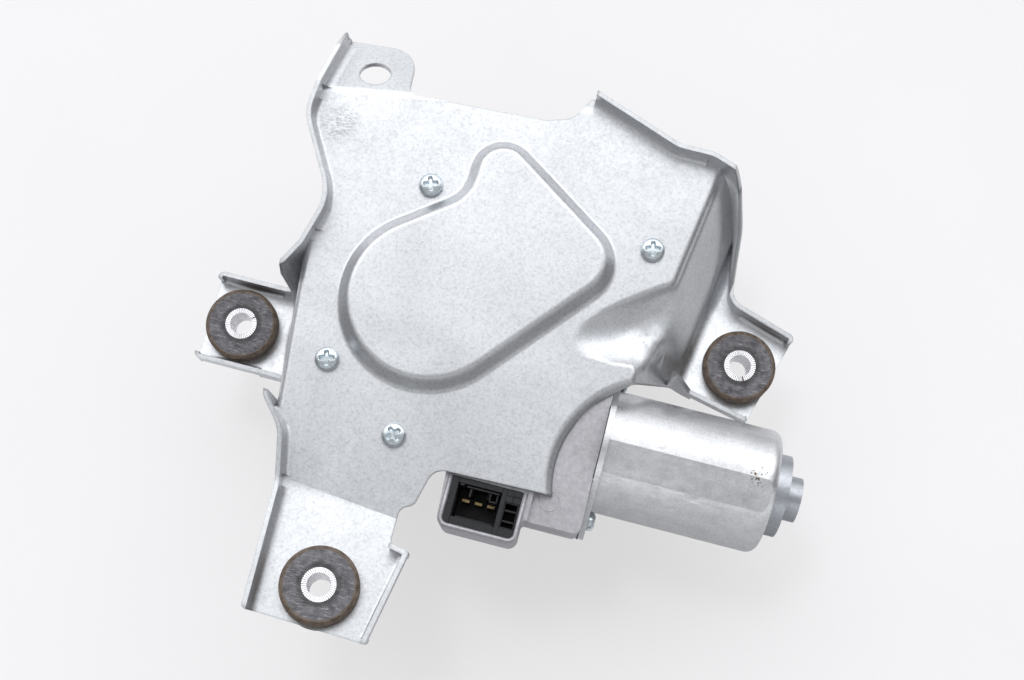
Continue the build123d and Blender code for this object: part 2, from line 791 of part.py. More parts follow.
def make_clip():
    """Open retaining ring in the shaft's groove."""
    low, high = clip_levels()
    ring = post(0, 0, 7.4, low + 0.05, high - 0.05) - post(0, 0, shaft_radius - 0.55, low, high)
    return ring - Pos(0, -6, low) * Box(4, 8, 6)


def make_washer():
    """Thrust washer between the clip and the boss."""
    low = plate_z - boss_drop - 1.05
    return post(0, 0, 8.6, low, low + 0.8) - post(0, 0, shaft_radius + run_gap, low - 1, low + 2)


def bush(low):
    """Plain bearing bush round the output shaft."""
    outer = shaft_radius + run_gap + bush_wall
    return post(0, 0, outer, low, low + bush_length) - post(0, 0, shaft_radius + run_gap, low - 1, plate_z)


def make_seal():
    """Ring seal in the mouth of the output boss."""
    low = plate_z - boss_drop
    outer = shaft_radius + run_gap + bush_wall
    return post(0, 0, outer, low, low + 2.6) - post(0, 0, shaft_radius + run_gap, low - 1, plate_z)


def lower_bush_z():
    return plate_z - boss_drop + 3.0


def upper_bush_z():
    return plate_z - wheel_top_drop - 1.0 - bush_length


def make_worm_case():
    """Round shouldered case over the worm, joined to the deck above it."""
    start = wheel_at[0] - worm_length / 2 - 10 - case_wall
    outer = worm_tunnel_radius + case_wall
    middle = (Align.MIN, Align.CENTER, Align.MIN)
    block = Box(brush_room_start - start, 2 * outer, deck_low - motor_z + 1, align=middle)
    return rod(start, brush_room_start, outer) + Pos(start, motor_y, motor_z) * block


def make_motor_end():
    """Drum that the can bolts to, with an ear for each screw."""
    drum = rod(6.0, yoke_start, yoke_radius + 1.4)
    drum = chamfer(drum.edges().group_by(Axis.X)[0], 2.0)
    for side in (-1, 1):
        drum += rod(yoke_start - 12, yoke_start, 6.0, y=motor_y + side * yoke_screw_reach)
    web = Box(12, 2 * yoke_screw_reach, 8.0, align=(Align.MAX, Align.CENTER, Align.CENTER))
    drum += Pos(yoke_start, motor_y, motor_z) * web
    return drum & under(Plane(origin=(0, 0, housing_top)))


def make_gussets():
    """Ribs that brace the output boss, and two more that run out to the screws."""
    side = Polyline((boss_radius - 2, deck_low + 1), (gusset_reach, deck_low + 1), (gusset_reach, deck_low - 2),
                    (boss_radius - 2, gusset_foot), close=True)
    rib = extrude(Plane.XZ * make_face(side), amount=gusset_thick / 2, both=True)
    ribs = Rot(0, 0, gusset_turn) * rib
    for index in range(1, gusset_count):
        ribs += Rot(0, 0, gusset_turn + index * 360 / gusset_count) * rib
    for x, y in screw_places[:2]:
        span = math.hypot(x, y)
        low = (Align.MIN, Align.CENTER, Align.MIN)
        bar = Pos(0, 0, deck_low - 4) * Box(span, gusset_thick, 5, align=low)
        ribs += Rot(0, 0, math.degrees(math.atan2(y, x))) * bar
    return ribs


def make_housing():
    """Die cast gear housing: deck, wheel bowl, worm case, ribbed output boss, motor end, plug pocket."""
    outline = rounded_outline(housing_corners)
    body = prism(outline, deck_low, housing_top)
    bowl = post(wheel_at[0], wheel_at[1], wheel_pocket_radius + case_wall, housing_floor, deck_low + 1)
    body += chamfer(bowl.edges().group_by(Axis.Z)[0], 2.0)
    plug_side = ridge_zone(((-20, -100), (40, -100), (40, -78), (-20, -78)))
    body += prism(outline, plug_floor, deck_low + 1) & plug_side
    body += make_worm_case()
    body += make_motor_end()
    motor_end = ridge_zone(((12.5, -120), (60, -120), (60, -36), (12.5, -36)))
    body -= motor_end & over(plate_level(rim_depth + 0.4))
    body += post(0, 0, boss_radius, plate_z - boss_drop, deck_low + 1)
    body += make_gussets()
    for x, y in screw_places:
        body += post(x, y, screw_boss_radius, plate_z - screw_length - 5, deck_low + 1)
    pocket = prism(chamber_face(), plate_z - wheel_top_drop - 0.6, plate_z)
    for x, y in screw_places:
        pocket -= post(x, y, 5.6, housing_floor, plate_z)
    body -= pocket
    body -= post(wheel_at[0], wheel_at[1], wheel_pocket_radius, chamber_floor, plate_z)
    body -= rod(wheel_at[0] - worm_length / 2 - 10, yoke_start + 1, worm_tunnel_radius)
    body -= rod(brush_room_start, yoke_start + 1, brush_room_radius)
    body -= post(wheel_at[0], wheel_at[1], axle_radius + run_gap / 5, chamber_floor - 2, plate_z)
    body -= post(0, 0, shaft_radius + run_gap + bush_wall + run_gap / 5, -20, plate_z)
    for x, y in screw_places:
        body -= post(x, y, screw_radius + run_gap, plate_z - screw_length - 2, plate_z)
    for side in (-1, 1):
        place = motor_y + side * yoke_screw_reach
        body -= rod(yoke_start - 10.5, yoke_start + 1, screw_radius + run_gap, y=place)
    return body - surround_zone()


def surround_zone():
    """Block of the casting around the plug pocket, held as a node of its own."""
    x, y = connector_at
    width, height = connector_size
    right = x + width / 2 + latch_width + surround_wall
    back = y + height / 2 + surround_wall
    return ridge_zone(((-20, -100), (right, -100), (right, back), (-20, back)))


def make_plug_surround():
    """Cast walls and floor round the plug socket, with a slot for the plug's latch."""
    body = prism(rounded_outline(housing_corners), plug_floor, housing_top) & surround_zone()
    x, y = connector_at
    width, height = connector_size
    low = plug_floor + surround_wall
    middle = (Align.CENTER, Align.CENTER, Align.MIN)
    body -= Pos(x, y, low) * Box(width + 4 * run_gap, height + 4 * run_gap, 60, align=middle)
    slot = (Align.MIN, Align.CENTER, Align.MIN)
    body -= Pos(x + width / 2, y - 1, low + latch_floor) * Box(latch_width, latch_length, 60, align=slot)
    return body


def make_gasket():
    """Gasket between the housing's rim and the bracket plate."""
    hull = belt_outline(gasket_circles) & rounded_outline(housing_corners)
    sheet_face = hull - chamber_face()
    gasket = prism(sheet_face, housing_top, housing_top + gasket_thick)
    for x, y in screw_places:
        gasket += post(x, y, 5.0, housing_top, housing_top + gasket_thick)
    for x, y in screw_places:
        gasket -= post(x, y, screw_radius + run_gap, housing_top - 1, plate_z)
    return gasket


def motor_end_plane(x):
    """Frame across the motor's axis, with its own X along +Y."""
    return Plane(origin=(x, motor_y, motor_z), x_dir=(0, 1, 0), z_dir=(1, 0, 0))


def make_yoke():
    """Drawn steel motor can with two flats, an ear flange and a stepped closed end."""
    can = rod(yoke_start, yoke_end, yoke_radius)
    can = fillet(can.edges().group_by(Axis.X)[-1], yoke_end_round)
    inside = rod(yoke_start, yoke_end - yoke_wall, yoke_radius - yoke_wall)
    flat_reach = math.sqrt(yoke_radius ** 2 - (flat_width / 2) ** 2)
    slab = motor_end_plane(0) * Rot(0, 0, flat_turn) * Box(big, 2 * flat_reach, big)
    thin = motor_end_plane(0) * Rot(0, 0, flat_turn) * Box(big, 2 * (flat_reach - yoke_wall), big)
    end_step = yoke_end + end_boss_length
    body = (can & slab) + rod(yoke_end - yoke_wall, end_step, end_boss_radius)
    body += rod(yoke_end, end_step + nose_length, nose_radius)
    ears = ((-yoke_screw_reach, 0, 6.0), (0, 0, yoke_radius + 1.4), (yoke_screw_reach, 0, 6.0))
    ears = (ears[0], (0, 0, yoke_radius + 1.4), ears[2], (0, 0.001, yoke_radius + 1.4))
    body += extrude(motor_end_plane(yoke_start) * belt_outline(ears), amount=yoke_flange)
    body -= inside & thin
    body -= rod(yoke_end - 2 * yoke_wall, end_step - yoke_wall, end_boss_radius - yoke_wall)
    body -= rod(end_step - 2 * yoke_wall, end_step + nose_length - yoke_wall, nose_radius - yoke_wall)
    for side in (-1, 1):
        place = motor_y + side * yoke_screw_reach
        body -= rod(yoke_start - 1, flange_end + 1, screw_radius + run_gap, y=place)
    return body


def make_magnets():
    """Two curved magnets stuck to the can's inner wall."""
    outer = yoke_radius - yoke_wall - run_gap
    low = core_start() - (magnet_length - core_length) / 2
    ring = rod(low, low + magnet_length, outer) - rod(low - 1, low + magnet_length + 1, outer - magnet_thick)
    gap = motor_end_plane(low) * Rot(0, 0, flat_turn) * Box(2 * magnet_gap_half, big, big)
    return ring - gap


def core_start():
    return flange_end + 11.0


def slot_ways():
    """Directions of the armature's slots."""
    return [math.tau * index / core_slots for index in range(core_slots)]


def slot_bars(low, high, spare):
    """Bars along the armature's slots, each smaller than its slot by spare on every side."""
    bars = None
    for way in slot_ways():
        place = motor_end_plane((low + high) / 2) * Rot(0, 0, math.degrees(way)) * Pos(slot_circle, 0, 0)
        bar = place * Box(slot_depth - 2 * spare, slot_width - 2 * spare, high - low)
        bars = bar if bars is None else bars + bar
    return bars


def make_core():
    """Slotted iron core of the armature."""
    start = core_start()
    end = start + core_length
    core = rod(start, end, core_radius) - slot_bars(start - 1, end + 1, 0)
    return core - rod(start - 1, end + 1, motor_shaft_radius + run_gap / 5)


def make_windings():
    """Copper coils that lie in the slots and bulge at both ends of the core."""
    start = core_start()
    end = start + core_length
    coils = slot_bars(start - 2, end + 2, run_gap)
    for low in (start - winding_bulge, end + 0.1):
        ring = rod(low, low + winding_bulge - 0.1, core_radius - 1)
        coils += ring - rod(low - 1, low + 2 * winding_bulge, commutator_radius)
    return coils


def make_armature_shaft():
    """Armature shaft that carries the worm thread."""
    lead = math.pi * gear_module
    turns = round(worm_length / lead - 0.5) + 0.5
    start = wheel_at[0] - lead * turns / 2
    path = Helix(pitch=lead, height=lead * turns, radius=worm_thread_root)
    plane = Plane(origin=path @ 0, x_dir=(1, 0, 0), z_dir=path % 0)
    rise = worm_thread_top - worm_thread_root
    corners = ((-0.3, -0.72), (rise, -0.26), (rise, 0.26), (-0.3, 0.72))
    thread = sweep(plane * make_face(Polyline(*corners, close=True)), path=path, is_frenet=True)
    shaft = rod(start - 1, start + lead * turns + 1, worm_thread_root)
    shaft += rod(start - 8, rear_bearing_start() + bearing_length + 0.15, motor_shaft_radius)
    thread = Pos(start, motor_y, motor_z) * Rot(0, 90, 0) * thread
    return shaft + thread


def rear_bearing_start():
    return yoke_end + end_boss_length - yoke_wall


def make_rear_bearing():
    """Bush in the can's nose."""
    low = rear_bearing_start()
    outer = nose_radius - yoke_wall - run_gap / 5
    return rod(low, low + bearing_length, outer) - rod(low - 1, low + 9, motor_shaft_radius + run_gap)


def make_thrust_pad():
    """Pad that takes the shaft's end thrust in the nose."""
    low = rear_bearing_start() + bearing_length + 0.2
    return rod(low, yoke_end + end_boss_length + nose_length - yoke_wall, nose_radius - yoke_wall - run_gap / 5)


def make_front_bearing():
    """Bush between the worm tunnel and the brushes."""
    low = brush_room_start - 8.0
    outer = worm_tunnel_radius - run_gap / 5
    return rod(low, low + 6.0, outer) - rod(low - 1, low + 9, motor_shaft_radius + run_gap)


def commutator_start():
    return brush_room_start + 3.0


def make_commutator():
    """Slotted copper commutator on the armature shaft."""
    start = commutator_start()
    body = rod(start, start + commutator_length, commutator_radius)
    for way in slot_ways():
        cut = motor_end_plane(start) * Rot(0, 0, math.degrees(way))
        body -= cut * Pos(commutator_radius, 0, commutator_length / 2) * Box(1.2, 0.5, 2 * commutator_length)
    return body - rod(start - 1, start + 2 * commutator_length, motor_shaft_radius + run_gap / 5)


def make_brush_holder():
    """Moulded plate that carries the brushes in the housing's motor end."""
    low = brush_room_start + 0.5
    mid = (Align.MIN, Align.CENTER, Align.CENTER)
    slot = brush_size + 4 * run_gap
    plate = rod(low, low + 2.0, brush_room_radius - run_gap)
    plate -= rod(low - 1, low + 4, commutator_radius + 1.0)
    for side in (-1, 1):
        z = motor_z + side * cage_middle
        plate += Pos(low, motor_y, z) * Box(cage_length, slot + 2.0, cage_tall, align=mid)
        x = brush_room_start + brush_line - slot / 2
        plate -= Pos(x, motor_y, z) * Box(slot, slot, 2 * cage_tall, align=mid)
    return plate


def make_brushes():
    """Two carbon brushes that ride on the commutator."""
    low = commutator_radius + run_gap
    brushes = []
    for side in (-1, 1):
        z = motor_z + side * (low + brush_outer) / 2
        block = Box(brush_size, brush_size, brush_outer - low)
        brushes.append(Pos(brush_room_start + brush_line, motor_y, z) * block)
    return Compound(brushes)


def make_brush_springs():
    """Springs that press the brushes inward."""
    springs = []
    for side in (-1, 1):
        for turn in range(2):
            reach = brush_outer + spring_wire / 2 + run_gap + turn * spring_pitch
            ring = Cylinder(spring_radius, spring_wire) - Cylinder(spring_radius - spring_wire, 2 * spring_wire)
            springs.append(Pos(brush_room_start + brush_line, motor_y, motor_z + side * reach) * ring)
    return Compound(springs)


def make_cover_screws():
    """Pan head screws that hold the bracket and the housing together."""
    screws = []
    for x, y in screw_places:
        head = post(x, y, screw_head_radius, plate_z, plate_z + screw_head_height)
        head = chamfer(head.edges().group_by(Axis.Z)[-1], screw_head_bevel)
        screws.append(head + post(x, y, screw_radius, plate_z - screw_length, plate_z))
    return Compound(screws)


def make_yoke_screws():
    """Two screws through the can's ears."""
    screws = []
    for side in (-1, 1):
        y = motor_y + side * yoke_screw_reach
        head = rod(flange_end, flange_end + 2.4, yoke_screw_head, y=y)
        head = chamfer(head.edges().group_by(Axis.X)[-1], screw_head_bevel)
        screws.append(head + rod(yoke_start - 10, flange_end, screw_radius, y=y))
    return Compound(screws)


def pin_blocks(grow):
    """Terminal blades, or the same blades grown for their slots."""
    x, y = connector_at
    low = plate_z - connector_drop - connector_depth
    blocks = []
    for index in range(pin_count):
        place = x + (index - (pin_count - 1) / 2) * pin_pitch
        size = (pin_size[0] + grow, pin_size[1] + grow, connector_floor + pin_rise)
        block = Box(*size, align=(Align.CENTER, Align.CENTER, Align.MIN))
        blocks.append(Pos(place, y + 1.2, low) * block)
    return blocks


def make_connector_shell():
    """Moulded plug socket with two key ribs."""
    x, y = connector_at
    width, height = connector_size
    low = plate_z - connector_drop - connector_depth
    base = (Align.CENTER, Align.CENTER, Align.MIN)
    shell = Pos(x, y, low) * Box(width, height, connector_depth, align=base)
    shell = fillet(shell.edges().filter_by(Axis.Z), 0.8)
    hollow = (width - 2 * connector_wall, height - 2 * connector_wall, connector_depth)
    shell -= Pos(x, y, low + connector_floor) * Box(*hollow, align=base)
    for side in (-1, 1):
        rib = Box(1.0, 2.2, connector_depth - connector_floor - 3.0, align=(Align.CENTER, Align.MAX, Align.MIN))
        shell += Pos(x + side * 2.6, y + height / 2 - connector_wall, low + connector_floor) * rib
    for block in pin_blocks(2 * run_gap):
        shell -= block
    return shell


def make_parts():
    """Every node by name."""
    seats = foot_seats()
    nodes = {
        "bracket_plate": make_bracket(),
        "gear_housing": make_housing(),
        "plug_surround": make_plug_surround(),
        "housing_gasket": make_gasket(),
        "motor_yoke": make_yoke(),
        "motor_magnets": make_magnets(),
        "armature_core": make_core(),
        "armature_windings": make_windings(),
        "armature_shaft": make_armature_shaft(),
        "commutator": make_commutator(),
        "rear_bearing": make_rear_bearing(),
        "front_bearing": make_front_bearing(),
        "thrust_pad": make_thrust_pad(),
        "brush_holder": make_brush_holder(),
        "carbon_brushes": make_brushes(),
        "brush_springs": make_brush_springs(),
        "worm_wheel": make_wheel(),
        "wheel_axle": make_axle(),
        "park_disc": make_park_disc(),
        "park_contacts": make_park_contacts(),
        "sector_gear": make_sector(),
        "crank_pin": make_crank_pin(),
        "rocker_lever": make_lever(),
        "sector_pivot_pin": make_pivot_pin(),
        "output_pinion": make_pinion(),
        "output_shaft": make_output_shaft(),
        "shaft_bush_lower": bush(lower_bush_z()),
        "shaft_bush_upper": bush(upper_bush_z()),
        "shaft_seal": make_seal(),
        "shaft_washer": make_washer(),
        "shaft_clip": make_clip(),
        "cover_screws": make_cover_screws(),
        "yoke_screws": make_yoke_screws(),
        "connector_shell": make_connector_shell(),
        "connector_pins": Compound(pin_blocks(0.0)),
    }
    for side, seat in seats.items():
        nodes["grommet_" + side] = make_grommet(seat)
        nodes["sleeve_" + side] = make_sleeve(seat)
    return nodes


if __name__ == "__main__":
    os.makedirs("parts", exist_ok=True)
    for name, shape in make_parts().items():
        export_step(shape, f"parts/{name}.step")
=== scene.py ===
import bpy
import json
import math
from mathutils import Matrix, Vector


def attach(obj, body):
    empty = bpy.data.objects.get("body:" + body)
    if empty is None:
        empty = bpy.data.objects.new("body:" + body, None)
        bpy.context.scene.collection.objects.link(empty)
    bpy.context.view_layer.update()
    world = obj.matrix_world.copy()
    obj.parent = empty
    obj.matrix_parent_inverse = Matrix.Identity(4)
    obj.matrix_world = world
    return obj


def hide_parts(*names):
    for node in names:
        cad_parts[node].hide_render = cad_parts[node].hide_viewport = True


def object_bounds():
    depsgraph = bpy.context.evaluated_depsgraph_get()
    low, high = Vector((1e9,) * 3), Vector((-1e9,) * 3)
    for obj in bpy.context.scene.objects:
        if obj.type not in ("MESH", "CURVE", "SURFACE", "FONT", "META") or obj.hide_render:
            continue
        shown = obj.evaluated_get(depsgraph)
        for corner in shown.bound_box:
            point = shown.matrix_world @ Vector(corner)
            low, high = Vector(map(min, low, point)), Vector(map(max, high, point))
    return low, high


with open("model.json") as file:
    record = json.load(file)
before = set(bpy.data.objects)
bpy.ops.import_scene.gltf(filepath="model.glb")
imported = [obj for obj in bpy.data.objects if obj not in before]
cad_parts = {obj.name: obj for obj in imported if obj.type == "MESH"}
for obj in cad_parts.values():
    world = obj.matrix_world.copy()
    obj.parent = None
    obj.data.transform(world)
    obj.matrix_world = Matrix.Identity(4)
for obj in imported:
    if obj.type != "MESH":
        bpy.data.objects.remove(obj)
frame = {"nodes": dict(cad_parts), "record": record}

cad_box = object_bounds()
nodes = frame["nodes"]
MM = 0.001

# The photograph's view: the camera looks down on the plate from its lower side
PLATE_Z = 64.0 * MM
VIEW_TURN = math.radians(14.5)
VIEW_TILT = math.radians(12.5)
VIEW_DISTANCE = 430.0 * MM
VIEW_TARGET = Vector((-5.2 * MM, -38.5 * MM, PLATE_Z))
VIEW_LENS = 50.4
SENSOR = 36.0
FLOOR_REACH = 3.0

# Places repeated from the part's source, in millimetres
SCREW_PLACES = ((-41.4, 2.3), (29.2, -0.8), (-57.2, -58.0), (-31.8, -75.1))
SCREW_TURNS = (20.0, 12.0, 15.0, 48.0)
MOTOR_Y = -61.0
MOTOR_Z = 43.0
YOKE_START = 28.3
YOKE_FLANGE = 1.9
YOKE_SCREW_REACH = 22.2
GROMMETS = {
    "left": ((-92.1, -49.1, 31.3), (0.0, 0.0, 1.0), 40.0),
    "right": ((65.6, -22.6, 31.3), (0.0, 0.0, 1.0), -65.0),
    "bottom": ((-40.0, -123.4, 67.2), (0.014, 0.147, 0.989), 200.0),
}

# Each ring left by an ejector pin on the casting: x, y and level, its radius, and 1 up or -1 down
EJECTOR_RINGS = (
    (17.4, -82.1, 60.4, 3.0, 1), (-32.0, -33.0, 31.0, 4.0, -1), (-46.0, -22.0, 31.0, 2.4, -1),
    (-20.0, -46.0, 31.0, 2.4, -1), (18.0, 4.0, 48.4, 2.6, -1), (-44.0, -12.0, 48.4, 2.6, -1),
)

# Spots in metres: rubbed plating, puckered sheet, the can's rust, and where its end steps begin
RUB_AT = (-0.0740, 0.0145, 0.0640)
PUCKER_AT = (0.0350, -0.0305, 0.0530)
RUST_AT = (0.0757, -0.0600, 0.0610)
CAN_END_X = 0.0815

photo_right = Vector((math.cos(VIEW_TURN), math.sin(VIEW_TURN), 0.0))
photo_up = Vector((-math.sin(VIEW_TURN), math.cos(VIEW_TURN), 0.0))
world_up = Vector((0.0, 0.0, 1.0))


def make_camera():
    """Camera at the photograph's angle, with no shift and no depth of field."""
    data = bpy.data.cameras.new("photo_camera")
    data.lens = VIEW_LENS
    data.sensor_width = SENSOR
    data.sensor_fit = "HORIZONTAL"
    data.clip_start = 0.01
    data.clip_end = 20.0
    camera = bpy.data.objects.new("photo_camera", data)
    bpy.context.scene.collection.objects.link(camera)
    back = world_up * math.cos(VIEW_TILT) - photo_up * math.sin(VIEW_TILT)
    up = photo_up * math.cos(VIEW_TILT) + world_up * math.sin(VIEW_TILT)
    turn = Matrix((photo_right, up, back)).transposed().to_4x4()
    camera.matrix_world = Matrix.Translation(VIEW_TARGET + back * VIEW_DISTANCE) @ turn
    bpy.context.scene.camera = camera


class Shader:
    """A principled material with a few helpers for its node tree."""

    def __init__(self, name):
        self.material = bpy.data.materials.new(name)
        self.material.use_nodes = True
        self.tree = self.material.node_tree
        self.bsdf = self.tree.nodes["Principled BSDF"]
        self.here = self.tree.nodes.new("ShaderNodeTexCoord").outputs["Object"]

    def set(self, **values):
        """Constants on the shader's sockets, with _ for a space in a name."""
        for key, value in values.items():
            self.bsdf.inputs[key.replace("_", " ")].default_value = value

    def feed(self, socket, value):
        """Links an output to a socket, or sets a constant on it."""
        if isinstance(value, bpy.types.NodeSocket):
            self.tree.links.new(value, socket)
        elif value is not None:
            socket.default_value = value

    def node(self, kind, **settings):
        """New node, with its settings."""
        node = self.tree.nodes.new("ShaderNode" + kind)
        for key, value in settings.items():
            setattr(node, key, value)
        return node

    def stretched(self, scale=(1.0, 1.0, 1.0), turn=(0.0, 0.0, 0.0)):
        """Object coordinates, scaled and turned."""
        node = self.node("Mapping")
        node.inputs["Scale"].default_value = scale
        node.inputs["Rotation"].default_value = turn
        self.feed(node.inputs["Vector"], self.here)
        return node.outputs["Vector"]

    def noise(self, scale, detail=3.0, rough=0.55, vector=None, distort=0.0):
        """Noise in the object's own coordinates, at a scale per metre."""
        node = self.node("TexNoise")
        node.inputs["Scale"].default_value = scale
        node.inputs["Detail"].default_value = detail
        node.inputs["Roughness"].default_value = rough
        node.inputs["Distortion"].default_value = distort
        self.feed(node.inputs["Vector"], vector or self.here)
        return node.outputs["Fac"]

    def ramp(self, value, stops):
        """Grey levels or colours at places from 0 to 1."""
        node = self.node("ValToRGB")
        marks = node.color_ramp.elements
        while len(marks) < len(stops):
            marks.new(0.5)
        for mark, (place, colour) in zip(marks, stops):
            mark.position = place
            shade = colour if isinstance(colour, tuple) else (colour, colour, colour)
            mark.color = (*shade, 1.0)
        self.feed(node.inputs["Fac"], value)
        return node.outputs["Color"]

    def mix(self, kind, amount, first, second):
        """Two colours mixed by an amount."""
        node = self.node("Mix", data_type="RGBA", blend_type=kind)
        for index, value in ((0, amount), (6, first), (7, second)):
            self.feed(node.inputs[index], (*value, 1.0) if isinstance(value, tuple) else value)
        return node.outputs[2]

    def maths(self, kind, first, second):
        """Maths on two numbers, where either can be a constant."""
        node = self.node("Math", operation=kind)
        self.feed(node.inputs[0], first)
        self.feed(node.inputs[1], second)
        return node.outputs[0]

    def less(self, value):
        """What is left of one."""
        return self.maths("SUBTRACT", 1.0, value)

    def times(self, first, second):
        return self.maths("MULTIPLY", first, second)

    def vector(self, kind, first, second=None):
        """Vector maths, where a tuple is a constant."""
        node = self.node("VectorMath", operation=kind)
        self.feed(node.inputs[0], first)
        self.feed(node.inputs[1], second)
        return node.outputs["Value"] if kind in ("DOT_PRODUCT", "LENGTH") else node.outputs["Vector"]

    def scaled(self, vector, amount):
        """A vector times a number."""
        node = self.node("VectorMath", operation="SCALE")
        self.feed(node.inputs[0], vector)
        self.feed(node.inputs["Scale"], amount)
        return node.outputs["Vector"]

    def band(self, value, low, high):
        """0 below low, 1 above high, smooth between."""
        node = self.node("MapRange", interpolation_type="SMOOTHSTEP")
        node.inputs["From Min"].default_value = low
        node.inputs["From Max"].default_value = high
        self.feed(node.inputs["Value"], value)
        return node.outputs["Result"]

    def split(self, vector):
        """The X, Y and Z of a vector."""
        node = self.node("SeparateXYZ")
        self.feed(node.inputs[0], vector)
        return node.outputs["X"], node.outputs["Y"], node.outputs["Z"]

    def near(self, point, inner, outer):
        """1 within the inner distance of a point in metres, 0 past the outer one."""
        away = self.vector("LENGTH", self.vector("SUBTRACT", self.here, point))
        return self.less(self.band(away, inner, outer))

    def surface_normal(self):
        return self.node("NewGeometry").outputs["Normal"]

    def axis_frame(self, centre, axis):
        """Distance from an axis, the vector across it and the way along it, for a centre in millimetres."""
        away = self.vector("SUBTRACT", self.here, tuple(c * MM for c in centre))
        along = self.vector("DOT_PRODUCT", away, axis)
        across = self.vector("SUBTRACT", away, self.scaled(axis, along))
        return self.vector("LENGTH", across), across, along

    def angle(self, across):
        """Angle round the Z axis of a vector, in radians."""
        x, y, _ = self.split(across)
        return self.maths("ARCTAN2", y, x)

    def colour(self, value):
        self.feed(self.bsdf.inputs["Base Color"], value)

    def rough(self, value):
        self.feed(self.bsdf.inputs["Roughness"], value)

    def bump(self, height, depth, strength=1.0, after=None):
        """Bump by a height field, over an earlier normal where one is given."""
        node = self.node("Bump")
        node.inputs["Strength"].default_value = strength
        node.inputs["Distance"].default_value = depth
        self.feed(node.inputs["Height"], height)
        self.feed(node.inputs["Normal"], after)
        self.feed(self.bsdf.inputs["Normal"], node.outputs["Normal"])
        return node.outputs["Normal"]


def sheet_normal(s):
    """Normal of the bracket as light meets it: gentle rolls read flat, walls and feet face up more."""
    normal = s.surface_normal()
    x, y, z = s.split(s.here)
    flat = s.vector("MULTIPLY", normal, (1.0, 1.0, 0.0))
    upright = s.vector("MULTIPLY", normal, (0.0, 0.0, 1.0))
    steep = s.band(s.vector("LENGTH", flat), 0.28, 0.70)
    panel = s.times(s.band(z, 0.0625, 0.0635), s.band(y, -0.099, -0.094))
    kept = s.less(s.times(panel, s.less(steep)))
    shaped = s.vector("ADD", s.scaled(flat, kept), upright)
    wall_height = s.times(s.band(z, 0.034, 0.041), s.less(s.band(z, 0.058, 0.0625)))
    far_end = s.maths("ADD", s.times(s.band(y, -0.030, -0.014), 0.95), 0.05)
    right_wall = s.times(wall_height, s.times(far_end, s.band(x, 0.028, 0.040)))
    shaped = s.vector("ADD", shaped, s.scaled(world_up * 1.8, right_wall))
    foot = s.less(s.band(z, 0.033, 0.040))
    shaped = s.vector("ADD", shaped, s.scaled(photo_up * 0.16 - photo_right * 0.04, foot))
    return s.vector("NORMALIZE", shaped)


def zinc_sheet():
    """Bright zinc plating: grey speckle, faint clouding, a rubbed spot, puckers and dull sheared edges."""
    s = Shader("zinc_sheet")
    s.set(Metallic=1.0)
    low, middle, high = (0.610, 0.615, 0.635), (0.735, 0.743, 0.763), (0.795, 0.795, 0.815)
    fine = s.ramp(s.noise(1150.0, 3.0, 0.75), ((0.34, low), (0.50, middle), (0.68, high)))
    cloud = s.ramp(s.noise(30.0, 4.0, 0.6, distort=0.5), ((0.30, 0.86), (0.66, 1.0)))
    tone = s.mix("MULTIPLY", 1.0, fine, cloud)
    streaks = s.noise(900.0, 3.0, 0.6, s.stretched((1.0, 3.0, 1.0), (0.0, 0.0, 0.9)))
    rubs = s.ramp(streaks, ((0.40, 0.62), (0.54, 1.0)))
    tone = s.mix("MULTIPLY", s.near(RUB_AT, 0.003, 0.008), tone, rubs)
    edge = s.node("AmbientOcclusion", inside=True, only_local=True, samples=4)
    edge.inputs["Distance"].default_value = 0.0012
    sheared = s.less(s.band(edge.outputs["AO"], 0.45, 0.75))
    s.colour(s.mix("MIX", s.times(sheared, 0.85), tone, (0.33, 0.34, 0.345)))
    s.rough(s.ramp(s.noise(520.0, 4.0, 0.65), ((0.25, 0.33), (0.75, 0.47))))
    fine_grain = s.bump(s.noise(1300.0, 3.0, 0.6), 0.00004, 0.45, after=sheet_normal(s))
    waves = s.bump(s.noise(30.0, 3.0, 0.5), 0.0006, 0.09, after=fine_grain)
    puckers = s.times(s.near(PUCKER_AT, 0.004, 0.014), s.noise(150.0, 0.8, 0.4, distort=0.4))
    s.bump(puckers, 0.0022, 0.55, after=waves)
    return s.material


def cast_aluminium():
    """Die cast skin, matt and slightly warm."""
    s = Shader("cast_aluminium")
    s.set(Metallic=0.85)
    tone = s.ramp(s.noise(700.0, 5.0, 0.7), ((0.3, (0.47, 0.46, 0.485)), (0.7, (0.63, 0.62, 0.645))))
    cloud = s.ramp(s.noise(45.0, 4.0, 0.6), ((0.3, 0.86), (0.7, 1.0)))
    s.colour(s.mix("MULTIPLY", 1.0, tone, cloud))
    s.rough(s.ramp(s.noise(300.0, 4.0, 0.6), ((0.3, 0.48), (0.7, 0.66))))
    s.bump(s.noise(1300.0, 4.0, 0.6), 0.00006, 0.7)
    return s.material


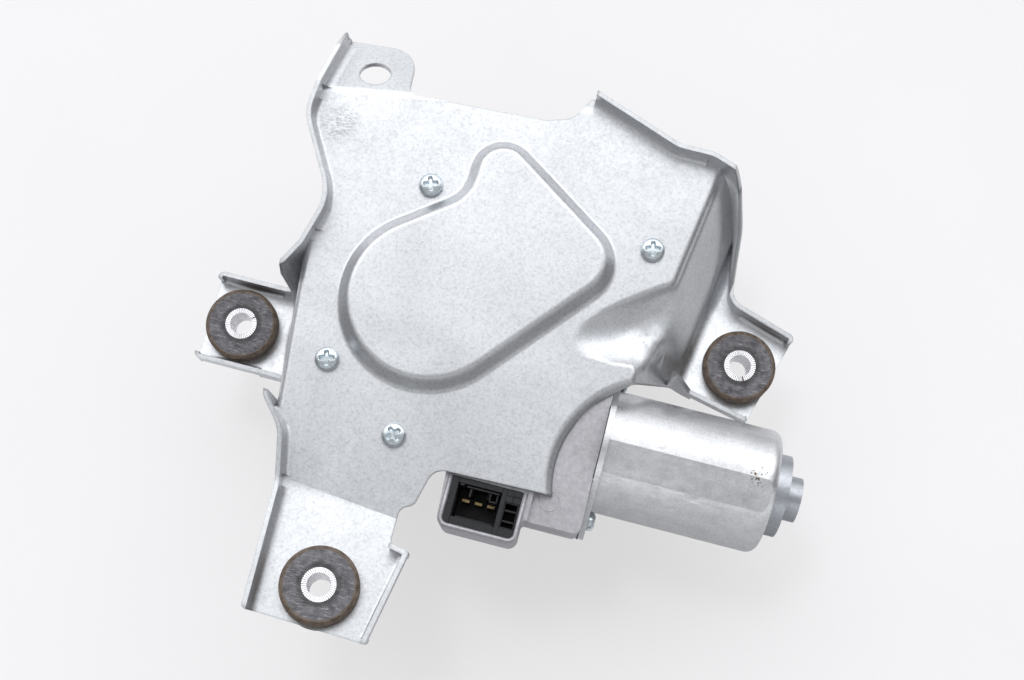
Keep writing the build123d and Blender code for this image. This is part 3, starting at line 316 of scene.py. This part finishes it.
def yoke_steel():
    """Satin plated can: drawing marks, speckle, rust pits, painted shade on the end steps and small dents.
    """
    s = Shader("yoke_steel")
    s.set(Metallic=1.0)
    marks = s.noise(150.0, 5.0, 0.65, s.stretched((0.16, 3.0, 3.0)))
    drawn = s.ramp(marks, ((0.3, (0.745, 0.745, 0.76)), (0.7, (0.825, 0.825, 0.84))))
    speckle = s.ramp(s.noise(1300.0, 3.0, 0.7), ((0.32, 0.84), (0.60, 1.0)))
    blotch = s.ramp(s.noise(90.0, 4.0, 0.6), ((0.36, 0.90), (0.58, 1.0)))
    tone = s.mix("MULTIPLY", 1.0, s.mix("MULTIPLY", 1.0, drawn, speckle), blotch)
    pits = s.maths("ADD", s.times(s.near(RUST_AT, 0.001, 0.0065), 0.35), s.noise(1100.0, 2.0, 0.5))
    # Painted shade: the colour of the can's end steps is made darker.
    end_steps_shade = s.band(s.split(s.here)[0], CAN_END_X, CAN_END_X + 0.0015)
    tone = s.mix("MULTIPLY", end_steps_shade, tone, (0.62, 0.64, 0.67))
    s.colour(s.mix("MIX", s.band(pits, 0.86, 0.93), tone, (0.16, 0.11, 0.08)))
    s.rough(s.ramp(s.noise(260.0, 4.0, 0.6), ((0.3, 0.34), (0.7, 0.50))))
    normal = s.surface_normal()
    low_side = s.band(s.vector("DOT_PRODUCT", normal, -photo_up), 0.12, 0.45)
    turned = s.vector("ADD", normal, s.scaled(world_up * 2.0 + photo_up * 0.45, low_side))
    fine = s.bump(s.noise(1500.0, 3.0, 0.6), 0.00003, 0.5, after=s.vector("NORMALIZE", turned))
    dents = s.ramp(s.noise(120.0, 3.0, 0.6, s.stretched((0.5, 1.0, 1.0))), ((0.30, 0.0), (0.40, 1.0)))
    s.bump(dents, 0.0002, 0.25, after=fine)
    return s.material


def grommet_rubber(side):
    """Old black rubber: dusty scuffed faces, a darker ring round the sleeve and a browner rim."""
    centre, axis, _ = GROMMETS[side]
    s = Shader("grommet_rubber_" + side)
    s.set(Metallic=0.0)
    s.bsdf.inputs["Specular IOR Level"].default_value = 0.35
    reach, across, _ = s.axis_frame(centre, axis)
    dust = s.ramp(s.noise(330.0, 6.0, 0.72), ((0.34, (0.062, 0.060, 0.065)), (0.66, (0.190, 0.182, 0.196))))
    streaks = s.stretched((1.0, 6.0, 1.0), (0.0, 0.0, 0.8 if side == "left" else 2.1))
    scuff = s.band(s.noise(420.0, 5.0, 0.68, streaks), 0.52, 0.70)
    dust = s.mix("MIX", s.times(scuff, 0.75), dust, (0.42, 0.41, 0.43))
    # A darker ring round the sleeve, where the rubber meets it.
    sleeve_ring_dark = s.times(s.band(reach, 0.0070, 0.0058), 0.6)
    dust = s.mix("MIX", sleeve_ring_dark, dust, (0.035, 0.031, 0.030))
    ragged = s.maths("ADD", reach, s.times(s.noise(500.0, 3.0, 0.6), 0.0008))
    rim = s.band(ragged, 0.0103, 0.0108)
    brown = s.ramp(s.noise(600.0, 4.0, 0.6), ((0.35, (0.085, 0.064, 0.050)), (0.70, (0.200, 0.155, 0.120))))
    s.colour(s.mix("MIX", rim, dust, brown))
    s.rough(s.ramp(s.noise(400.0, 4.0, 0.6), ((0.3, 0.50), (0.7, 0.80))))
    s.bump(s.noise(1200.0, 4.0, 0.65), 0.00008, 0.8)
    return s.material


def sleeve_steel(side):
    """Bright rolled tube with a slanting split seam and a serrated end."""
    centre, axis, seam_at = GROMMETS[side]
    s = Shader("sleeve_steel_" + side)
    s.set(Metallic=1.0)
    reach, across, along = s.axis_frame(centre, axis)
    turn = s.maths("SUBTRACT", s.angle(across), math.radians(seam_at))
    slant = s.maths("ADD", turn, s.times(along, 60.0))
    seam = s.less(s.band(s.maths("ABSOLUTE", s.maths("SUBTRACT", slant, 0.32), 0.0), 0.03, 0.07))
    tone = s.ramp(s.noise(1400.0, 3.0, 0.6), ((0.3, (0.74, 0.73, 0.76)), (0.7, (0.90, 0.89, 0.91))))
    s.colour(s.mix("MIX", seam, tone, (0.10, 0.06, 0.05)))
    s.rough(s.ramp(s.noise(500.0, 3.0, 0.6), ((0.3, 0.20), (0.7, 0.36))))
    teeth = s.maths("SINE", s.times(s.angle(across), 46.0), 0.0)
    s.bump(s.mix("MIX", seam, teeth, (0.0, 0.0, 0.0)), 0.00008, 0.5)
    return s.material


def plain(name, low, high, metallic, rough_low, rough_high, grain=900.0, depth=0.00004):
    """Grained material for a smaller piece."""
    s = Shader(name)
    s.set(Metallic=metallic)
    s.colour(s.ramp(s.noise(grain, 4.0, 0.65), ((0.3, low), (0.7, high))))
    s.rough(s.ramp(s.noise(grain / 3, 4.0, 0.6), ((0.3, rough_low), (0.7, rough_high))))
    s.bump(s.noise(grain * 1.3, 3.0, 0.6), depth, 0.5)
    return s.material


def make_materials():
    """One material for each slot of the record."""
    return {
        "zinc_sheet": zinc_sheet(),
        "cast_aluminium": cast_aluminium(),
        "yoke_steel": yoke_steel(),
        "gasket_rubber": plain("gasket_rubber", (0.03, 0.03, 0.03), (0.06, 0.06, 0.06), 0.0, 0.6, 0.8),
        "seal_rubber": plain("seal_rubber", (0.02, 0.02, 0.02), (0.04, 0.04, 0.04), 0.0, 0.4, 0.6),
        "ferrite": plain("ferrite", (0.10, 0.10, 0.11), (0.18, 0.18, 0.19), 0.3, 0.5, 0.7),
        "bronze": plain("bronze", (0.50, 0.34, 0.18), (0.66, 0.47, 0.27), 1.0, 0.35, 0.5),
        "nylon": plain("nylon", (0.76, 0.74, 0.66), (0.86, 0.84, 0.77), 0.0, 0.45, 0.6),
        "black_plastic": plain("black_plastic", (0.008, 0.008, 0.009), (0.018, 0.018, 0.021), 0.0,
                               0.38, 0.58),
        "carbon": plain("carbon", (0.03, 0.03, 0.03), (0.08, 0.08, 0.08), 0.2, 0.5, 0.7),
        "spring_steel": plain("spring_steel", (0.42, 0.43, 0.45), (0.58, 0.59, 0.61), 1.0, 0.25, 0.4),
        "steel": plain("steel", (0.48, 0.49, 0.51), (0.64, 0.65, 0.67), 1.0, 0.25, 0.42),
        "brass": plain("brass", (0.66, 0.50, 0.24), (0.83, 0.67, 0.36), 1.0, 0.22, 0.36),
        "tinned_brass": plain("tinned_brass", (0.36, 0.27, 0.13), (0.56, 0.43, 0.22), 1.0, 0.25, 0.42),
        "zinc_screw": plain("zinc_screw", (0.58, 0.64, 0.67), (0.78, 0.83, 0.87), 1.0, 0.20, 0.36, 1600.0),
        "core_iron": plain("core_iron", (0.20, 0.20, 0.21), (0.32, 0.32, 0.33), 1.0, 0.4, 0.6),
        "copper": plain("copper", (0.62, 0.30, 0.15), (0.80, 0.44, 0.26), 1.0, 0.25, 0.4),
    }


def dress_nodes(materials):
    """Puts each slot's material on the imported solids."""
    for side in GROMMETS:
        materials["grommet_" + side] = grommet_rubber(side)
        materials["sleeve_" + side] = sleeve_steel(side)
    materials["connector_pins"] = materials["tinned_brass"]
    for part in frame["record"]["subparts"]:
        node = nodes[part["node"]]
        node.data.materials.clear()
        node.data.materials.append(materials.get(part["node"]) or materials[part["material_slot"]])


def add_piece(name, points, faces, body, material, smooth=True):
    """New mesh piece in metres that rides on a body."""
    mesh = bpy.data.meshes.new(name)
    mesh.from_pydata([tuple(point) for point in points], [], faces)
    mesh.materials.append(material)
    for face in mesh.polygons:
        face.use_smooth = smooth
    piece = bpy.data.objects.new(name, mesh)
    bpy.context.scene.collection.objects.link(piece)
    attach(piece, body)
    return piece


def lathe(levels, segments, shape=None):
    """Rings of points at (radius, height) levels in millimetres, and the faces between them."""
    points = []
    for radius, height in levels:
        for step in range(segments):
            way = math.tau * step / segments
            reach = radius + (shape(radius, height, way) if shape else 0.0)
            points.append(Vector((reach * math.cos(way), reach * math.sin(way), height)) * MM)
    faces = []
    for ring in range(len(levels) - 1):
        for step in range(segments):
            after = (step + 1) % segments
            a, b = ring * segments, (ring + 1) * segments
            faces.append((a + step, a + after, b + after, b + step))
    faces.append(tuple(reversed(range(segments))))
    last = (len(levels) - 1) * segments
    faces.append(tuple(range(last, last + segments)))
    return points, faces


def join(shapes):
    """One list of points and faces from several."""
    points, faces = [], []
    for some, more in shapes:
        faces += [tuple(len(points) + index for index in face) for face in more]
        points += some
    return points, faces


def screw_shape(radius, height, shank, length, turn):
    """Pan head with a cross recess pressed into it, and a plain shank below, about the Z axis."""
    segments, rings = 96, 26
    levels = [(shank, -length), (shank, 0.0), (radius, 0.0)]
    levels += [(radius * (1 - 0.003 * step), height * 0.22 * step) for step in (1, 2)]
    points, faces = lathe(levels, segments)
    faces.pop()
    start = len(points) - segments
    for ring in range(1, rings + 1):
        share = 1 - ring / rings
        for step in range(segments):
            way = math.tau * step / segments
            x, y = radius * share * math.cos(way), radius * share * math.sin(way)
            rise = height * (0.44 + 0.56 * (1 - share ** 3.2) ** 0.62)
            along, across = x * math.cos(turn) + y * math.sin(turn), y * math.cos(turn) - x * math.sin(turn)
            cut = 0.0
            for a, b in ((abs(along), abs(across)), (abs(across), abs(along))):
                side = max(0.0, min(1.0, (0.86 - 0.10 * a - b) / 0.26))
                end = max(0.0, min(1.0, (radius * 0.63 - a) / 0.40))
                cut = max(cut, side * end)
            points.append(Vector((x, y, rise - 1.25 * cut)) * MM)
        for step in range(segments):
            after = (step + 1) % segments
            a, b = start + (ring - 1) * segments, start + ring * segments
            faces.append((a + step, a + after, b + after, b + step))
    return points, faces


def make_screws(materials):
    """Detailed screws in place of the plain ones."""
    shapes = []
    for (x, y), turn in zip(SCREW_PLACES, SCREW_TURNS):
        points, faces = screw_shape(3.7, 2.4, 2.0, 12.0, math.radians(turn))
        place = Vector((x * MM, y * MM, PLATE_Z))
        shapes.append(([point + place for point in points], faces))
    points, faces = join(shapes)
    piece = add_piece("cover_screws_detail", points, faces, "frame", materials["zinc_screw"])
    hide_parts("cover_screws")
    shapes = []
    for side in (-1, 1):
        points, faces = screw_shape(2.9, 2.4, 2.0, 11.9, math.radians(25.0 * side))
        place = Vector((YOKE_START + YOKE_FLANGE, MOTOR_Y + side * YOKE_SCREW_REACH, MOTOR_Z)) * MM
        shapes.append(([Vector((point.z, point.y, -point.x)) + place for point in points], faces))
    points, faces = join(shapes)
    piece = add_piece("yoke_screws_detail", points, faces, "frame", materials["zinc_screw"])
    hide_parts("yoke_screws")


def make_threaded_shaft(materials):
    """Output shaft with its thread and knurled taper, in place of the plain one."""
    pitch = 1.25
    levels = [(3.2, -12.0)]
    steps = 104
    for step in range(steps + 1):
        height = -11.9 + 11.3 * step / steps
        chamfer = min(4.0, 3.3 + (height + 12.0) * 0.9)
        levels.append((chamfer, height))
    levels += [(3.5, -0.55), (3.5, -0.05), (4.1, 0.0), (4.5, 0.3)]
    for step in range(1, 12):
        levels.append((4.5 + 0.5 * step / 16, 0.3 + 0.62 * step))
    levels += [(4.98, 7.6), (5.0, 8.0), (5.0, 11.9), (4.4, 11.9), (4.4, 12.9), (5.0, 12.9), (5.0, 53.2)]
    levels += [(4.0, 53.2), (4.0, 61.5), (3.8, 61.7)]

    def relief(radius, height, way):
        """How far the thread or the knurl cuts in."""
        if -11.9 < height < -0.65:
            turn = (height / pitch - way / math.tau) % 1.0
            return -0.62 * (1 - abs(2 * turn - 1)) * min(1.0, (height + 12.0) / 0.8)
        if 0.4 < height < 7.2:
            return -0.28 * abs(math.sin(14 * way)) ** 0.7
        return 0.0

    points, faces = lathe(levels, 112, relief)
    piece = add_piece("output_shaft_detail", points, faces, "output", materials["steel"], False)
    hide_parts("output_shaft")


def make_casting_marks(materials):
    """Shallow ejector rings that the die left on the casting."""
    shapes = []
    for x, y, level, radius, rise in EJECTOR_RINGS:
        rings = [(radius - 0.25, -0.02), (radius - 0.1, 0.10), (radius + 0.1, 0.10), (radius + 0.25, -0.02)]
        points, faces = lathe(rings, 40)
        faces = faces[:-2]
        if rise < 0:
            faces = [tuple(reversed(face)) for face in faces]
        place = Vector((x, y, level)) * MM
        shapes.append(([Vector((point.x, point.y, point.z * rise)) + place for point in points], faces))
    points, faces = join(shapes)
    add_piece("casting_marks", points, faces, "frame", materials["cast_aluminium"])


def block(low, high):
    """Points and faces of a box between two corners in millimetres, its long edges eased a little."""
    ease = min(0.12, min(b - a for a, b in zip(low, high)) * 0.3)
    rings = []
    for inset, z in ((ease, low[2]), (0.0, low[2] + ease), (0.0, high[2] - ease), (ease, high[2])):
        x0, x1, y0, y1 = low[0] + inset, high[0] - inset, low[1] + inset, high[1] - inset
        rings += [Vector((x, y, z)) * MM for x, y in ((x0, y0), (x1, y0), (x1, y1), (x0, y1))]
    faces = [(3, 2, 1, 0), (12, 13, 14, 15)]
    for ring in range(3):
        for step in range(4):
            after = (step + 1) % 4
            faces.append((ring * 4 + step, ring * 4 + after, ring * 4 + 4 + after, ring * 4 + 4 + step))
    return rings, faces


def rounded_path(corners, steps=8):
    """Points along an open path of (x, y, radius) corners."""
    path = [Vector(corners[0][:2])]
    for index in range(1, len(corners) - 1):
        before, here, after = (Vector(corners[index + k][:2]) for k in (-1, 0, 1))
        radius = corners[index][2]
        first, second = (before - here).normalized(), (after - here).normalized()
        half = first.angle(second) / 2
        reach = radius / math.tan(half)
        middle = here + (first + second).normalized() * radius / math.sin(half)
        start = here + first * reach - middle
        sweep = start.angle_signed(here + second * reach - middle)
        for step in range(steps + 1):
            turn = -sweep * step / steps
            path.append(middle + Vector((start.x * math.cos(turn) - start.y * math.sin(turn),
                                         start.x * math.sin(turn) + start.y * math.cos(turn))))
    path.append(Vector(corners[-1][:2]))
    return path


def make_plug_detail(materials):
    """Black frame of the plug socket with its latch pocket, and the raised lip of the casting round it."""
    top = 62.1
    rise = top + 0.3
    deep, foot = 48.5, 58.1
    frame_bars = (
        ((-11.7, -96.0, top), (-9.7, -81.8, rise)), ((3.5, -96.0, top), (4.9, -81.8, rise)),
        ((-9.7, -96.0, top), (3.5, -93.7, rise)), ((-9.7, -83.5, top), (3.5, -81.8, rise)),
        ((4.9, -96.0, top), (9.5, -93.5, rise)), ((4.9, -85.7, top), (9.5, -81.8, rise)),
        ((9.3, -93.5, top), (9.6, -85.7, rise)),
    )
    collar = (
        ((-10.75, -94.7, foot), (-9.7, -82.5, top + 0.2)), ((3.7, -94.7, foot), (4.75, -82.5, top + 0.2)),
        ((-9.7, -94.7, foot), (3.7, -93.7, top + 0.2)), ((-9.7, -83.5, foot), (3.7, -82.5, top + 0.2)),
    )
    pocket = (
        ((4.9, -93.5, deep), (9.3, -85.7, 49.1)), ((4.85, -93.5, deep), (5.3, -85.7, top)),
        ((8.9, -93.5, deep), (9.35, -85.7, top)), ((4.9, -93.55, deep), (9.3, -93.1, top)),
        ((4.9, -86.1, deep), (9.3, -85.65, top)),
        ((5.3, -91.6, 55.0), (8.9, -91.0, 61.4)), ((5.3, -88.4, 55.0), (8.9, -87.8, 61.4)),
    )
    ribs = (
        ((-9.2, -84.2, 59.0), (-7.9, -83.5, 62.2)), ((-7.0, -84.4, 60.6), (3.0, -83.9, 62.0)),
        ((-5.9, -86.9, 56.5), (-5.3, -84.4, 61.4)), ((0.1, -86.6, 56.5), (0.6, -84.4, 61.6)),
        ((2.2, -86.6, 56.5), (2.7, -84.4, 61.6)), ((0.1, -87.0, 56.5), (2.7, -86.5, 61.2)),
        ((-8.6, -93.6, 56.0), (2.8, -92.9, 59.4)), ((5.2, -83.9, top + 0.2), (9.2, -83.5, top + 0.6)),
        ((6.8, -85.6, top + 0.2), (7.1, -82.2, top + 0.5)),
    )
    points, faces = join(block(low, high) for low, high in frame_bars + collar + pocket + ribs)
    add_piece("plug_frame", points, faces, "frame", materials["black_plastic"], False)
    path = rounded_path(((-13.2, -81.9, 0), (-13.2, -97.4, 3.0), (11.0, -97.4, 3.0), (11.0, -81.9, 0)))
    profile = ((0.0, 61.6), (0.05, 62.6), (0.3, 63.0), (0.7, 63.15), (1.1, 63.0), (1.4, 62.6), (1.5, 61.8))
    points = []
    for index, place in enumerate(path):
        before, after = path[max(index - 1, 0)], path[min(index + 1, len(path) - 1)]
        way = (after - before).normalized()
        inward = Vector((-way.y, way.x))
        for inset, level in profile:
            points.append(Vector((*(place + inward * inset), level)) * MM)
    count = len(profile)
    faces = [tuple(range(count)), tuple(reversed(range(len(points) - count, len(points))))]
    for ring in range(len(path) - 1):
        for step in range(count):
            after = (step + 1) % count
            a, b = ring * count, (ring + 1) * count
            faces.append((a + step, b + step, b + after, a + after))
    add_piece("plug_lip", points, faces, "frame", materials["cast_aluminium"])


def make_motor_gasket(materials):
    """Edge of the thin gasket between the casting and the motor's ear flange."""
    spots = []
    for y, radius in ((-YOKE_SCREW_REACH, 6.0), (0.0, 20.6), (YOKE_SCREW_REACH, 6.0)):
        for step in range(72):
            way = math.tau * step / 72
            spots.append((y + radius * math.cos(way), radius * math.sin(way)))
    spots.sort()

    def half(row):
        """One side of the outline that wraps the spots."""
        chain = []
        for spot in row:
            while len(chain) > 1:
                (ax, ay), (bx, by) = chain[-2], chain[-1]
                if (bx - ax) * (spot[1] - ay) - (by - ay) * (spot[0] - ax) > 1e-9:
                    break
                chain.pop()
            chain.append(spot)
        return chain[:-1]

    outline = half(spots) + half(spots[::-1])
    points = []
    for x, grow in ((28.15, 0.994), (28.15, 1.008), (28.45, 1.008), (28.45, 0.994)):
        points += [Vector((x, MOTOR_Y + y * grow, MOTOR_Z + z * grow)) * MM for y, z in outline]
    count = len(outline)
    faces = []
    for ring in range(4):
        for step in range(count):
            after = (step + 1) % count
            a, b = ring * count, ((ring + 1) % 4) * count
            faces.append((a + step, a + after, b + after, b + step))
    add_piece("motor_gasket", points, faces, "frame", materials["gasket_rubber"], False)


def make_floor(level):
    """Pale table, brightened for the camera so that it reads as the photograph's white paper."""
    mesh = bpy.data.meshes.new("floor")
    corners = [(x * FLOOR_REACH, y * FLOOR_REACH, level) for x, y in ((-1, -1), (1, -1), (1, 1), (-1, 1))]
    mesh.from_pydata(corners, [], [(0, 1, 2, 3)])
    floor = bpy.data.objects.new("floor", mesh)
    bpy.context.scene.collection.objects.link(floor)
    s = Shader("floor_paper")
    s.set(Metallic=0.0, Roughness=0.85)
    paper = s.ramp(s.noise(9.0, 3.0, 0.5), ((0.3, (0.92, 0.915, 0.925)), (0.7, (0.95, 0.945, 0.955))))
    seen = s.node("LightPath").outputs["Is Camera Ray"]
    # Painted light on the table for rays other than the camera's: a bright pool near the part, painted dark
    # further out.
    spread = s.band(s.vector("LENGTH", s.here), 0.20, 0.45)
    table = s.mix("MIX", spread, (0.80, 0.795, 0.80), (0.16, 0.16, 0.17))
    s.colour(s.mix("MIX", seen, table, (0.36, 0.36, 0.38)))
    s.feed(s.bsdf.inputs["Emission Color"], s.mix("MULTIPLY", 1.0, paper, (1.0, 0.985, 0.955)))
    s.feed(s.bsdf.inputs["Emission Strength"], s.times(seen, 0.57))
    mesh.materials.append(s.material)


def area_light(name, place, size, power):
    """Soft rectangular lamp that faces the view's target and isn't seen in the metal."""
    data = bpy.data.lights.new(name, "AREA")
    data.shape = "RECTANGLE"
    data.size = size[0]
    data.size_y = size[1]
    data.energy = power
    lamp = bpy.data.objects.new(name, data)
    bpy.context.scene.collection.objects.link(lamp)
    lamp.location = place
    lamp.visible_glossy = False
    lamp.rotation_euler = (VIEW_TARGET - place).to_track_quat("-Z", "Y").to_euler()


def make_surround():
    """Studio surround that the metal reflects: bright towards the photograph's top, dim by the horizon."""
    world = bpy.data.worlds.new("studio")
    bpy.context.scene.world = world
    world.use_nodes = True
    tree = world.node_tree
    coords = tree.nodes.new("ShaderNodeTexCoord")

    def glow(direction, low, high, stops):
        """Grey levels by how far a ray leans in a direction, from low to high."""
        lean = tree.nodes.new("ShaderNodeVectorMath")
        lean.operation = "DOT_PRODUCT"
        lean.inputs[1].default_value = direction
        tree.links.new(coords.outputs["Generated"], lean.inputs[0])
        spread = tree.nodes.new("ShaderNodeMapRange")
        spread.inputs["From Min"].default_value = low
        spread.inputs["From Max"].default_value = high
        tree.links.new(lean.outputs["Value"], spread.inputs["Value"])
        ramp = tree.nodes.new("ShaderNodeValToRGB")
        marks = ramp.color_ramp.elements
        while len(marks) < len(stops):
            marks.new(0.5)
        for mark, (place, shade) in zip(marks, stops):
            mark.position = place
            mark.color = (shade * 0.98, shade * 0.99, shade, 1.0)
        tree.links.new(spread.outputs["Result"], ramp.inputs["Fac"])
        return ramp.outputs["Color"]

    def blend(kind, amount, first, second):
        """Mix of two colours; a tuple is a constant."""
        node = tree.nodes.new("ShaderNodeMix")
        node.data_type = "RGBA"
        node.blend_type = kind
        for socket, value in ((node.inputs[0], amount), (node.inputs[6], first), (node.inputs[7], second)):
            if isinstance(value, bpy.types.NodeSocket):
                tree.links.new(value, socket)
            else:
                socket.default_value = value
        return node.outputs[2]

    above_stops = (
        (0.0, 0.80), (0.30, 0.56), (0.46, 0.42), (0.53, 0.44), (0.57, 0.49),
        (0.605, 0.655), (0.635, 1.05), (0.665, 2.15), (1.0, 2.3),
    )
    above = glow(photo_up, -1.0, 1.0, above_stops)
    beside = glow(photo_right * 0.97 + world_up * 0.24, 0.45, 0.95, ((0.0, 0.0), (1.0, 0.05)))
    low_sky = glow(world_up, 0.10, 0.66, ((0.0, 0.34), (0.45, 0.55), (1.0, 1.0)))
    studio = blend("MULTIPLY", 1.0, blend("ADD", 1.0, above, beside), low_sky)
    seen = tree.nodes.new("ShaderNodeLightPath").outputs["Is Camera Ray"]
    sky = tree.nodes["Background"]
    tree.links.new(blend("MIX", seen, studio, (0.93, 0.925, 0.935, 1.0)), sky.inputs["Color"])
    sky.inputs["Strength"].default_value = 1.0


def make_lights():
    """The surround, and three soft lamps; the strongest is high and to the photograph's upper left."""
    make_surround()
    for name, up, right, top, size, power in (
        ("softbox_top", 1.1, -0.20, 0.26, (0.22, 0.20), 2.2),
        ("softbox_left", 0.7, -1.1, 0.2, (0.8, 0.8), 0.4),
        ("softbox_right", 0.8, 0.75, -0.35, (0.35, 0.6), 0.4),
    ):
        place = VIEW_TARGET + world_up * up + photo_right * right + photo_up * top
        area_light(name, place, size, power)


make_camera()
materials = make_materials()
dress_nodes(materials)
make_screws(materials)
make_threaded_shaft(materials)
make_casting_marks(materials)
make_plug_detail(materials)
make_motor_gasket(materials)
make_floor(cad_box[0][2])
make_lights()
bpy.context.scene.view_settings.view_transform = "Standard"
